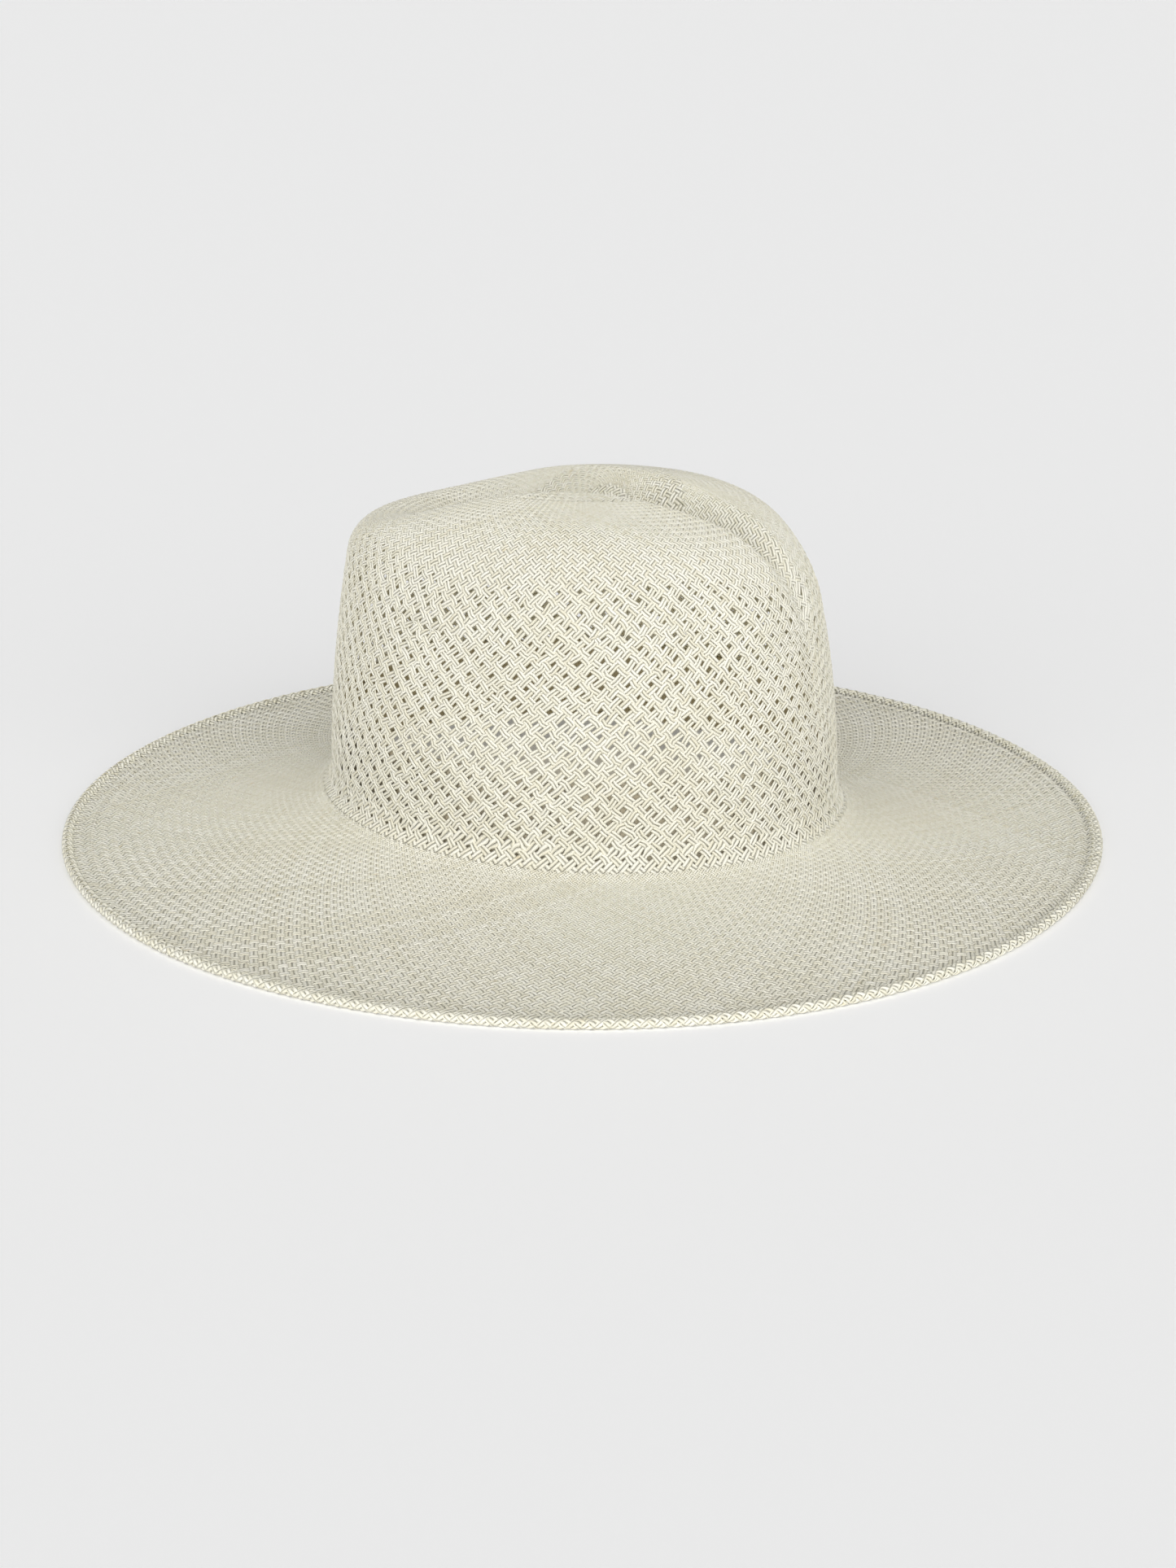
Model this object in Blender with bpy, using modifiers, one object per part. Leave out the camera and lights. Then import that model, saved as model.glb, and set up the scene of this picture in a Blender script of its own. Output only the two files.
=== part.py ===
"""Vented panama hat with a wide, level brim and a creased teardrop crown.

Metres, +Z up. The front of the hat faces -Y. The origin is on the flat underside of the rim,
below the middle of the crown. An angle around the hat is 0 at the front and grows towards +X.
"""

import bmesh
import bpy
from math import cos, hypot, pi, radians, sin, sqrt

# ---- driving dimensions -------------------------------------------------------------------
HEAD_LENGTH = 0.204  # outside of the crown where it meets the brim, front to back
HEAD_WIDTH = 0.174
BRIM_FRONT = 0.099  # brim width at the front and the back
BRIM_SIDE = 0.112  # brim width at the two sides
BRIM_DROP = 0.0118  # fall of the brim from the crown to the rim
BRIM_SWEEP = 1.6  # exponent of that fall: the brim is level at its rim
BREAK_RADIUS = 0.009  # soft fillet between the brim and the crown
STRAW = 0.0010  # thickness of the woven straw
HEM = 0.0007  # thickness of the straw folded under at the rim
HEM_WIDTH = 0.009
BEAD = 0.0017  # outer radius of the rolled edge over the wire
WIRE = 0.00045  # radius of the rim wire
GAP = 0.0003  # clearance between neighbours

CROWN_HEIGHT = 0.1257  # from the break up to the undented top
TIP_LENGTH = 0.1905  # oval at the top of the wall
TIP_WIDTH = 0.148
TAPER = 2.0  # exponent of the wall's lean: upright at the break
PEAK_Y = -0.015  # where the top line is highest
FALL_BACK = 0.0165  # fall of the top line 88 mm behind its peak
FALL_FRONT = 0.0280
FALL_SIDE = 0.0158  # fall of the top line 75 mm to the side
SHOULDER_BACK = 0.0080  # radius between the wall and the top
SHOULDER_FRONT = 0.0265
SHOULDER_SIDE = 0.0360

CREASE_Y = (-0.0835, 0.0775)  # front and back end of the centre crease
CREASE_WIDTH = (0.0085, 0.0235, 0.0435, 0.0415)  # half width at the stations below
CREASE_WIDTH_AT = (0.0, 0.5, 0.85, 1.0)
CREASE_DEPTH = (0.003, 0.0190, 0.0205, 0.0200, 0.0)
CREASE_DEPTH_AT = (0.0, 0.2, 0.55, 0.8, 1.0)
PINCH_DEPTH = 0.0030  # finger dents at the front of the crown
PINCH_ANGLE = radians(36)
PINCH_HEIGHT = 0.088
PINCH_SIZE = 0.017

BAND_HEIGHT = 0.031  # sweatband
BAND = 0.0011
BAND_LIFT = 0.0032  # lower edge of the sweatband above the break
REED = 0.0011  # radius of the piping under the sweatband
THREAD = 0.0003  # radius of the sewing thread
SEAM_TAPE = 0.0005  # thickness of the ribbon over the sweatband's join

STEPS = 64  # facets around the hat
TIP_RINGS = 11
COLOURS = {
    "straw": (0.80, 0.77, 0.64),
    "brim_straw": (0.72, 0.70, 0.59),
    "wire": (0.62, 0.63, 0.64),
    "band": (0.78, 0.74, 0.63),
    "tape": (0.70, 0.66, 0.55),
    "thread": (0.86, 0.84, 0.76),
    "ribbon": (0.83, 0.80, 0.70),
    "label": (0.88, 0.87, 0.82),
}

HALF_LENGTH, HALF_WIDTH = HEAD_LENGTH / 2, HEAD_WIDTH / 2
RIM_TOP = HEM + GAP + STRAW  # upper side of the brim over the hem
BREAK_Z = RIM_TOP + BRIM_DROP
BEAD_RISE_WIDTH = 0.003
SHOULDER_LEAN = 0.988  # the shoulder starts at the wall's own lean, not upright
REACH = 0.085  # radius that turns a shoulder radius into a share of the tip
ANGLES = [2 * pi * (i + 0.5) / STEPS for i in range(STEPS)]


# ---- the hat's surface --------------------------------------------------------------------
def between(x, stations, values):
    """Straight-line interpolation."""
    x = min(max(x, stations[0]), stations[-1])
    for i in range(len(stations) - 1):
        if x <= stations[i + 1]:
            share = (x - stations[i]) / (stations[i + 1] - stations[i])
            return values[i] + (values[i + 1] - values[i]) * share
    return values[-1]


def ease(t):
    t = min(max(t, 0.0), 1.0)
    return t * t * (3 - 2 * t)


def outward(angle):
    """Unit normal of the crown's oval at the break."""
    x, y = sin(angle) / HALF_WIDTH, -cos(angle) / HALF_LENGTH
    return x / hypot(x, y), y / hypot(x, y)


def brim_reach(angle):
    """Distance from the crown to the centre of the rolled edge."""
    nx, ny = outward(angle)
    return BRIM_FRONT * ny * ny + BRIM_SIDE * nx * nx - BEAD


def beyond_crown(angle, out, z):
    """Point at a distance out from the crown's oval, and at height z."""
    nx, ny = outward(angle)
    return HALF_WIDTH * sin(angle) + nx * out, -HALF_LENGTH * cos(angle) + ny * out, z


def brim_point(angle, out):
    """Upper side of the brim."""
    reach = brim_reach(angle)
    z = RIM_TOP + BRIM_DROP * (1 - min(out / reach, 1.0)) ** BRIM_SWEEP
    if out < BREAK_RADIUS:
        z += BREAK_RADIUS - sqrt(BREAK_RADIUS**2 - (BREAK_RADIUS - out) ** 2)
    rise = ease(1 - (reach - 0.0008 - out) / BEAD_RISE_WIDTH)
    return beyond_crown(angle, out, z + (2 * BEAD - RIM_TOP) * rise)


def shoulder_radius(x, y):
    r = hypot(x / TIP_WIDTH, y / TIP_LENGTH) + 1e-9
    front = max(-y / TIP_LENGTH / r, 0.0) ** 2
    side = (x / TIP_WIDTH / r) ** 2
    more_front = (SHOULDER_FRONT - SHOULDER_BACK) * front
    return SHOULDER_BACK + more_front + (SHOULDER_SIDE - SHOULDER_BACK) * side**1.7


def top_line(x, y):
    fall = FALL_BACK if y > PEAK_Y else FALL_FRONT
    return CROWN_HEIGHT - fall * ((y - PEAK_Y) / 0.088) ** 2 - FALL_SIDE * (x / 0.075) ** 2


def crease(x, y):
    front, back = CREASE_Y
    along = (y - front) / (back - front)
    width = between(along, CREASE_WIDTH_AT, CREASE_WIDTH)
    if abs(x) >= width:
        return 0.0
    return between(along, CREASE_DEPTH_AT, CREASE_DEPTH) * cos(pi * x / width / 2) ** 2


def shoulder_fall(share, radius):
    """Fall of the top towards the wall; share is 0 in the middle of the tip and 1 at the wall."""
    start = 1 - radius / REACH
    t = SHOULDER_LEAN * max((share - start) / (1 - start), 0.0)
    return radius * (1 - sqrt(1 - t * t))


def tip_point(angle, share):
    x, y = TIP_WIDTH / 2 * share * sin(angle), -TIP_LENGTH / 2 * share * cos(angle)
    z = top_line(x, y) - shoulder_fall(share, shoulder_radius(x, y)) - crease(x, y)
    return pinched(angle, x, y, z)


def wall_point(angle, z):
    """Outside of the crown's wall at height z above the break."""
    top_x, top_y = TIP_WIDTH / 2 * sin(angle), -TIP_LENGTH / 2 * cos(angle)
    t = (z / wall_height(angle)) ** TAPER
    x, y, _ = beyond_crown(angle, 0, 0)
    return pinched(angle, x + (top_x - x) * t, y + (top_y - y) * t, z)


def wall_height(angle):
    x, y = TIP_WIDTH / 2 * sin(angle), -TIP_LENGTH / 2 * cos(angle)
    return top_line(x, y) - shoulder_fall(1.0, shoulder_radius(x, y)) - crease(x, y)


def pinched(angle, x, y, z):
    """Press the two finger dents into the front of the crown, then lift to the hat's frame."""
    turn = abs((angle + pi) % (2 * pi) - pi)
    across = (turn - PINCH_ANGLE) * HALF_LENGTH
    share = hypot(x / TIP_WIDTH, y / TIP_LENGTH) * 2
    near = 2.718 ** (-((across / PINCH_SIZE) ** 2) - ((z - PINCH_HEIGHT) / PINCH_SIZE) ** 2)
    nx, ny = outward(angle)
    push = PINCH_DEPTH * near * min(share, 1.0)
    return x - nx * push, y - ny * push, z + BREAK_Z


def band_point(angle, z, depth):
    """Point z above the break and a depth inside the wall, on the sweatband's straight slope."""
    low, high = wall_point(angle, BAND_LIFT), wall_point(angle, BAND_LIFT + BAND_HEIGHT)
    share = (z - BAND_LIFT) / BAND_HEIGHT
    x, y = (low[i] + (high[i] - low[i]) * share for i in (0, 1))
    nx, ny = outward(angle)
    return x - nx * depth, y - ny * depth, z + BREAK_Z


# ---- mesh helpers -------------------------------------------------------------------------
def clear_scene():
    for obj in list(bpy.data.objects):
        bpy.data.objects.remove(obj, do_unlink=True)


def finish_for(colour, roughness=0.75, metallic=0.0):
    name = colour + "_finish"
    material = bpy.data.materials.get(name) or bpy.data.materials.new(name)
    material.use_nodes = True
    shader = material.node_tree.nodes["Principled BSDF"]
    shader.inputs["Base Color"].default_value = (*COLOURS[colour], 1)
    shader.inputs["Roughness"].default_value = roughness
    shader.inputs["Metallic"].default_value = metallic
    return material


def add_object(name, data, material):
    obj = bpy.data.objects.new(name, data)
    data.materials.append(material)
    HAT.objects.link(obj)
    return obj


def loft(name, rings, material, around=True, along=False):
    """Skin equal rings of points. around closes each ring, along joins the last to the first."""
    count, width = len(rings), len(rings[0])
    points = [point for ring in rings for point in ring]
    faces = []
    for i in range(count if along else count - 1):
        for j in range(width if around else width - 1):
            a, b = i * width + j, i * width + (j + 1) % width
            step = ((i + 1) % count) * width
            faces.append((a, b, step + (j + 1) % width, step + j))
    if around and not along:
        faces += [tuple(range(width))[::-1], tuple((count - 1) * width + j for j in range(width))]
    mesh = bpy.data.meshes.new(name)
    mesh.from_pydata(points, [], faces)
    if around:
        face_out(mesh)
    mesh.shade_smooth()
    return add_object(name, mesh, material)


def face_out(mesh):
    """Turn the faces of a closed solid outwards."""
    work = bmesh.new()
    work.from_mesh(mesh)
    bmesh.ops.recalc_face_normals(work, faces=work.faces)
    work.to_mesh(mesh)
    work.free()


def thicken(obj, thickness):
    solidify = obj.modifiers.new("thickness", "SOLIDIFY")
    solidify.thickness = thickness
    solidify.offset = -1


def tube(name, points, radius, material, cyclic):
    """Round thread or wire along the points."""
    curve = bpy.data.curves.new(name, "CURVE")
    curve.dimensions = "3D"
    curve.bevel_depth = radius
    curve.bevel_resolution = 1
    curve.use_fill_caps = not cyclic
    spline = curve.splines.new("POLY")
    spline.points.add(len(points) - 1)
    for point, place in zip(spline.points, points):
        point.co = (*place, 1)
    spline.use_cyclic_u = cyclic
    add_object(name, curve, material)


# ---- the woven body -----------------------------------------------------------------------
def make_crown_tip():
    shares = [sin(pi / 2 * (1 - k / TIP_RINGS)) for k in range(TIP_RINGS)]
    rings = [[tip_point(a, share) for a in ANGLES] for share in shares]
    rings[0] = [(x, y, z + GAP) for x, y, z in rings[0]]
    rings.append([tip_point(0, 0)] * STEPS)  # welded to one point in the middle
    open_shell("crown_tip", rings, finish_for("straw"))


def open_shell(name, rings, material):
    """An open tube of rings with straw thickness on its inner side."""
    shell = loft(name, [ring + ring[:1] for ring in rings], material, around=False)
    weld = shell.modifiers.new("weld", "WELD")
    weld.merge_threshold = 0.00001
    thicken(shell, STRAW)


def make_crown_side():
    rings = []
    for share in (0.0, 0.2, 0.4, 0.6, 0.8, 1.0):
        ring = []
        for a in ANGLES:
            foot = BREAK_RADIUS + GAP
            ring.append(wall_point(a, foot + (wall_height(a) - foot) * share))
        rings.append(ring)
    open_shell("crown_side", rings, finish_for("straw"))


def make_brim():
    fillet = [BREAK_RADIUS * (1 - sin(radians(turn))) for turn in (90, 60, 30, 0)]
    shares = (0.22, 0.45, 0.68, 0.87)
    rings = [[brim_point(a, out) for a in ANGLES] for out in fillet]
    rings += [[brim_point(a, brim_reach(a) * share) for a in ANGLES] for share in shares]
    rings += [[brim_point(a, brim_reach(a) - back) for a in ANGLES] for back in (0.0040, 0.0023, 2 * GAP)]
    open_shell("brim", rings[::-1], finish_for("brim_straw"))


def make_brim_hem():
    """Straw folded round the wire and back under the brim; its underside is the flat rest."""
    rings = []
    for a in ANGLES:
        reach = brim_reach(a)
        section = [(reach - HEM_WIDTH, 0), (reach, 0)]
        for turn in (-60, -30, 0, 30, 60):
            t = radians(turn)
            section.append((reach + BEAD * cos(t), BEAD + BEAD * sin(t)))
        section += [(reach, 2 * BEAD), (reach - GAP, 2 * BEAD), (reach - GAP, 2 * BEAD - HEM)]
        section.append((reach, 2 * BEAD - HEM))
        for turn in (45, 0, -45):
            t, inner = radians(turn), BEAD - HEM
            section.append((reach + inner * cos(t), BEAD + inner * sin(t)))
        section += [(reach, HEM), (reach - HEM_WIDTH, HEM)]
        rings.append([beyond_crown(a, out, z) for out, z in section])
    loft("brim_hem", rings, finish_for("brim_straw"), along=True)


# ---- what is sewn to it -------------------------------------------------------------------
def rim_middle(angle, share):
    """A point on the wire's line, on the flat between two neighbouring facets."""
    a, b = angle - pi / STEPS, angle + pi / STEPS
    first, second = beyond_crown(a, brim_reach(a), BEAD), beyond_crown(b, brim_reach(b), BEAD)
    return [p + (q - p) * share for p, q in zip(first, second)]


def make_rim_wire():
    """Spring wire in the rolled edge; its two ends butt inside the joiner at the back."""
    line = [beyond_crown(a, brim_reach(a), BEAD) for a in ANGLES]
    half = STEPS // 2
    line = line[half:] + line[:half]
    points = [rim_middle(pi, 0.52)] + line + [rim_middle(pi, 0.48)]
    tube("rim_wire", points, WIRE, finish_for("wire", 0.35, 1.0), cyclic=False)


def make_wire_joiner():
    """Short crimped sleeve over the two ends of the wire."""
    length, outer, inner = 0.011, 0.00072, 0.00058
    middle = rim_middle(pi, 0.5)
    rings = []
    for end, radius in ((-1, outer), (1, outer), (1, inner), (-1, inner)):
        x = middle[0] + end * length / 2
        turns = [2 * pi * k / 12 for k in range(12)]
        rings.append([(x, middle[1] + radius * cos(t), middle[2] + radius * sin(t)) for t in turns])
    loft("wire_joiner", rings, finish_for("wire", 0.3, 1.0), along=True)


def make_hem_stitching():
    inset = HEM_WIDTH + 2 * GAP
    points = [beyond_crown(a, brim_reach(a) - inset, THREAD + GAP / 2) for a in ANGLES]
    tube("hem_stitching", points, THREAD, finish_for("thread"), cyclic=True)


def strip(name, angles, low, high, outer, inner, material):
    """A band on the sweatband's slope between two heights and two depths."""
    corners = ((low, outer), (high, outer), (high, inner), (low, inner))
    rings = [[band_point(a, z, depth) for z, depth in corners] for a in angles]
    loft(name, rings, material)


def make_sweatband():
    outer = STRAW + GAP
    low, high = BAND_LIFT, BAND_LIFT + BAND_HEIGHT
    # open by a narrow slit at the back, where the seam tape covers its two ends
    slit = 0.0004 / HALF_WIDTH
    half = STEPS // 2
    angles = [pi + slit] + ANGLES[half:] + [a + 2 * pi for a in ANGLES[:half]] + [3 * pi - slit]
    strip("sweatband", angles, low, high, outer, outer + BAND, finish_for("band", 0.6))


def make_sweatband_reed():
    depth = STRAW + GAP + BAND / 2
    points = [band_point(a, BAND_LIFT - REED - GAP, depth) for a in ANGLES]
    tube("sweatband_reed", points, REED, finish_for("band", 0.6), cyclic=True)


def make_sweatband_stitching():
    depth = STRAW + GAP + BAND + GAP + THREAD
    points = [band_point(a, BAND_LIFT + 0.0035, depth) for a in ANGLES]
    tube("sweatband_stitching", points, THREAD, finish_for("thread"), cyclic=True)


def make_seam_tape():
    """Ribbon over the butt join at the back of the sweatband."""
    outer = STRAW + GAP + BAND + GAP
    half = 0.0045 / HALF_WIDTH
    angles = [pi + half * k for k in (-1, -0.5, 0, 0.5, 1)]
    low, high = BAND_LIFT + 0.0048, BAND_LIFT + BAND_HEIGHT - 0.0012
    strip("seam_tape", angles, low, high, outer, outer + SEAM_TAPE, finish_for("tape", 0.8))


def make_size_label():
    """Plain woven tab beside the seam."""
    outer = STRAW + GAP + BAND + GAP
    start, end = pi + 0.011 / HALF_WIDTH, pi + 0.031 / HALF_WIDTH
    angles = [start + (end - start) * k / 4 for k in range(5)]
    low, high = BAND_LIFT + 0.009, BAND_LIFT + 0.021
    strip("size_label", angles, low, high, outer, outer + 0.0004, finish_for("label", 0.9))


def make_bow():
    """Flat ribbon bow at the back of the sweatband: two loops either side of a knot."""
    half_width, knot, bulge = 0.0115, 0.0011, 0.0026
    curve = bpy.data.curves.new("sweatband_bow", "CURVE")
    curve.dimensions = "2D"
    curve.fill_mode = "BOTH"
    curve.extrude = 0.0018
    outline = []
    for k in range(40):
        t = 2 * pi * (k + 0.5) / 40
        blunt = min(1.0, 3 * abs(sin(t)))
        depth = (knot + bulge * abs(cos(t)) ** 1.5) * blunt
        outline.append((half_width * cos(t), depth if sin(t) > 0 else -depth))
    add_spline(curve, outline)
    for side in (-1, 1):
        eye = []
        for k in range(14):
            t = 2 * pi * k / 14
            flare = 0.0009 + 0.0011 * (1 + cos(t)) / 2
            eye.append((side * (0.0066 + 0.0040 * cos(t)), flare * sin(t)))
        add_spline(curve, eye)
    bow = add_object("sweatband_bow", curve, finish_for("ribbon", 0.6))
    _, y, z = band_point(pi, BAND_LIFT + 0.014, STRAW + BAND + 3 * GAP + SEAM_TAPE)
    bow.location = (0, y - knot - bulge - GAP, z)
    as_mesh(bow)


def add_spline(curve, points):
    spline = curve.splines.new("POLY")
    spline.points.add(len(points) - 1)
    for point, (x, y) in zip(spline.points, points):
        point.co = (x, y, 0, 1)
    spline.use_cyclic_u = True


def as_mesh(obj):
    """Replace a curve object by its evaluated mesh, with its caps welded on."""
    bpy.context.view_layer.update()
    graph = bpy.context.evaluated_depsgraph_get()
    mesh = bpy.data.meshes.new_from_object(obj.evaluated_get(graph))
    name, matrix = obj.name, obj.matrix_world.copy()
    bpy.data.objects.remove(obj)
    solid = bpy.data.objects.new(name, mesh)
    solid.matrix_world = matrix
    HAT.objects.link(solid)
    weld = solid.modifiers.new("weld", "WELD")
    weld.merge_threshold = 0.000001


clear_scene()
HAT = bpy.data.collections.new("panama_hat")
bpy.context.scene.collection.children.link(HAT)
make_crown_tip()
make_crown_side()
make_brim()
make_brim_hem()
make_rim_wire()
make_wire_joiner()
make_hem_stitching()
make_sweatband()
make_sweatband_reed()
make_sweatband_stitching()
make_seam_tape()
make_size_label()
make_bow()
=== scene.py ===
from math import cos, pi, radians, sin

import bpy
import numpy as np
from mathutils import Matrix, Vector


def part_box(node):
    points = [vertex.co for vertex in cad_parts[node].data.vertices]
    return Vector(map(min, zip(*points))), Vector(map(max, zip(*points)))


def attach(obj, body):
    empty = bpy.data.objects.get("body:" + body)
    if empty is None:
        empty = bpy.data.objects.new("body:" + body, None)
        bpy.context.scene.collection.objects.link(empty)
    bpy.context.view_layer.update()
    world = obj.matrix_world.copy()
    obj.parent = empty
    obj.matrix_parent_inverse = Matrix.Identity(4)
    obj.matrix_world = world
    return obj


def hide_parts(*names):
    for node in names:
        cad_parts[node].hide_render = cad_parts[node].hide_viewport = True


# A vented panama hat, woven straw by straw over the shape of the CAD model.
# Metres, +Z up, front towards -Y.
# An angle round the hat is 0 at the front and grows towards +X, as in the CAD.

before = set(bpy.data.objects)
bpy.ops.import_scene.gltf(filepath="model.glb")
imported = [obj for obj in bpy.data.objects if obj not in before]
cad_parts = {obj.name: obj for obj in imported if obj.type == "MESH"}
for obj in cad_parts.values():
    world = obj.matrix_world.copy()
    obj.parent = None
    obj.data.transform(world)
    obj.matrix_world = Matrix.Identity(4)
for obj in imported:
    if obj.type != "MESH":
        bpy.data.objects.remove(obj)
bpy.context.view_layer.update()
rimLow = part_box("brim_hem")[0]
print("frame loaded,", len(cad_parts), "nodes")


# camera, light and floor

studio = {
    "turn": -59.82,  # degrees round from the front
    "rise": 19.51,  # degrees above level
    "distance": 1.1864,
    "lens": 69.8,  # millimetres, like the sensor
    "sensor": 36,
    "farthest": 100,
    "aimHeight": 0.0138,  # where the crown meets the brim
    "moveRight": 0.0023,
    "moveUp": 0.0016,
    "skyOverhead": 0.20,
    "skyAtFloor": 0.80,  # a bright wall all round, up to the first of these heights
    "skyHeights": (0.22, 0.45),
    "keyStrength": 3.05,
    "keyTurn": -58,
    "keyRise": 30,
    "keySoftness": 100,  # degrees across
    "insideWatts": 0.025,  # the light that comes through the straw
    "insideColour": (1.0, 0.88, 0.50),
    "insideHeight": 0.06,
    "insideRadius": 0.04,
    "floorColour": (0.87, 0.87, 0.87),
    "floorRoughness": 1.0,
    "floorGlow": 0.14,  # keeps the floor even and the shadow faint
    "floorSize": 60,
    "floorGap": 0.0002,  # below the rim
}


def awayFromHat(turn, rise):
    t, r = radians(turn), radians(rise)
    return Vector((sin(t) * cos(r), -cos(t) * cos(r), sin(r)))


def addLight(kind, name, place, strength):
    data = bpy.data.lights.new(name, kind)
    data.energy = strength
    light = bpy.data.objects.new(name, data)
    light.location = place
    light.rotation_euler = Vector(place).to_track_quat("Z", "Y").to_euler()
    bpy.context.scene.collection.objects.link(light)
    return data


def setStudio():
    s = studio
    back = awayFromHat(s["turn"], s["rise"])
    right = Vector((cos(radians(s["turn"])), sin(radians(s["turn"])), 0))
    up = back.cross(right)
    data = bpy.data.cameras.new("camera")
    data.lens, data.sensor_width, data.clip_end = s["lens"], s["sensor"], s["farthest"]
    camera = bpy.data.objects.new("camera", data)
    aim = Vector((0, 0, s["aimHeight"])) + right * s["moveRight"] + up * s["moveUp"]
    camera.location = aim + back * s["distance"]
    camera.rotation_euler = back.to_track_quat("Z", "Y").to_euler()
    scene = bpy.context.scene
    scene.collection.objects.link(camera)
    scene.camera = camera
    scene.view_settings.view_transform = "Standard"

    world = bpy.data.worlds.new("softRoom")
    world.use_nodes = True
    tree = world.node_tree
    split = tree.nodes.new("ShaderNodeSeparateXYZ")
    ramp = tree.nodes.new("ShaderNodeValToRGB")
    tree.links.new(tree.nodes.new("ShaderNodeTexCoord").outputs["Generated"], split.inputs[0])
    tree.links.new(split.outputs["Z"], ramp.inputs["Fac"])
    tree.links.new(ramp.outputs["Color"], tree.nodes["Background"].inputs["Color"])
    levels = s["skyAtFloor"], s["skyOverhead"]
    for mark, height, level in zip(ramp.color_ramp.elements, s["skyHeights"], levels):
        mark.position, mark.color = height, (level, level, level, 1)
    scene.world = world
    key = addLight("SUN", "key", awayFromHat(s["keyTurn"], s["keyRise"]), s["keyStrength"])
    key.angle = radians(s["keySoftness"])
    inside = addLight("POINT", "throughStraw", (0, 0, s["insideHeight"]), s["insideWatts"])
    inside.shadow_soft_size = s["insideRadius"]
    inside.color = s["insideColour"]


def makeFloor():
    half = studio["floorSize"] / 2
    mesh = bpy.data.meshes.new("floor")
    z = rimLow.z - studio["floorGap"]
    corners = [(-half, -half, z), (half, -half, z), (half, half, z), (-half, half, z)]
    mesh.from_pydata(corners, [], [(0, 1, 2, 3)])
    floor = bpy.data.objects.new("floor", mesh)
    bpy.context.scene.collection.objects.link(floor)
    paint = bpy.data.materials.new("paleFloor")
    paint.use_nodes = True
    shader = paint.node_tree.nodes["Principled BSDF"]
    shader.inputs["Base Color"].default_value = (*studio["floorColour"], 1)
    shader.inputs["Roughness"].default_value = studio["floorRoughness"]
    shader.inputs["Specular IOR Level"].default_value = 0
    shader.inputs["Emission Color"].default_value = (1, 1, 1, 1)
    shader.inputs["Emission Strength"].default_value = studio["floorGlow"]
    mesh.materials.append(paint)


setStudio()
makeFloor()
print("studio set")


# the hat's surface, as the CAD has it

hat = {
    "headLength": 0.204,
    "headWidth": 0.174,
    "brimFront": 0.099,
    "brimSide": 0.112,
    "brimDrop": 0.0118,
    "brimSweep": 1.6,
    "breakRadius": 0.009,
    "straw": 0.0010,  # thickness of the woven straw
    "bead": 0.0017,  # radius of the rolled edge
    "beadFoot": 0.0030,  # how far inside the bead the straw of the rolled edge begins
    "beadRise": 0.0030,  # length of the brim's rise to the bead
    "beadRiseEnd": 0.0008,  # how far inside the bead that rise is done
    "rimTop": 0.0020,
    "crownHeight": 0.1257,
    "tipLength": 0.1905,
    "tipWidth": 0.148,
    "taper": 2.0,
    "peakY": -0.015,
    "fallBack": 0.0165,
    "fallFront": 0.0280,
    "fallSide": 0.0158,
    "fallOver": (0.075, 0.088),  # distances across and along in which the top falls so far
    "shoulderBack": 0.0080,
    "shoulderFront": 0.0265,
    "shoulderSide": 0.0360,
    "shoulderSpread": 1.7,  # how soon the sides' radius gives way to the front's and the back's
    "shoulderSpan": 0.085,
    "shoulderSteep": 0.988,
    "creaseY": (-0.0835, 0.0775),
    "creaseWidth": (0.0085, 0.0235, 0.0435, 0.0415),
    "creaseWidthAt": (0.0, 0.5, 0.85, 1.0),
    "creaseDepth": (0.003, 0.0190, 0.0205, 0.0200, 0.0),
    "creaseDepthAt": (0.0, 0.2, 0.55, 0.8, 1.0),
    "creaseSmoothing": (-0.06, -0.03, 0, 0.03, 0.06),
    "pinchDepth": 0.0030,
    "pinchAngle": radians(36),
    "pinchHeight": 0.088,
    "pinchSize": 0.017,
    "hemWidth": 0.009,
}
band = {
    "lift": 0.0032,  # lower edge of the sweatband above the bend
    "height": 0.031,
    "thick": 0.0011,
    "gap": 0.0003,
    "rib": 0.00125,  # from one rib of the ribbon to the next
    "ribDepth": 0.00034,
    "across": (0, 0.012, 0.05, 0.062, 0.2, 0.4, 0.6, 0.8, 0.938, 0.95, 0.988, 1),
    "ribbed": (0, 0, 0, 1, 1, 1, 1, 1, 1, 0, 0, 0),  # the woven edges have no ribs
    "slit": 0.0004,  # half the gap at the join
    "edgeRound": 0.3,  # share of its thickness that a ribbon loses at each edge
    "reed": 0.0011,  # radius of the piping
    "reedRib": 0.07,
    "stitchLine": 0.0035,  # height above the band's lower edge
    "tapeThick": 0.0005,
    "tapeWidth": 0.009,
    "tapeAt": (0.0048, 0.0298),  # heights above the band's lower edge
    "tapeRib": 0.0010,
    "tapeRibDepth": 0.00012,
    "tapeAcross": (-1, -0.97, -0.86, -0.84, -0.5, 0, 0.5, 0.84, 0.86, 0.97, 1),
    "tapeRibbed": (0, 0, 0, 1, 1, 1, 1, 1, 0, 0, 0),
    "labelAt": (0.009, 0.021),  # heights above the band's lower edge
    "labelFrom": 0.011,  # along the band from the join
    "labelTo": 0.031,
    "labelThick": 0.0004,
    "labelCells": (81, 49),
    "labelWeave": 0.00004,
    "labelFold": 0.00010,  # how much thicker the turned-in ends are
    "bowAt": 0.014,
}
halfLength, halfWidth = hat["headLength"] / 2, hat["headWidth"] / 2
breakZ = hat["rimTop"] + hat["brimDrop"]


def stack(x, y, z):
    return np.stack(np.broadcast_arrays(x, y, z), -1)


def ease(t):
    t = np.clip(t, 0, 1)
    return t * t * (3 - 2 * t)


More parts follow.
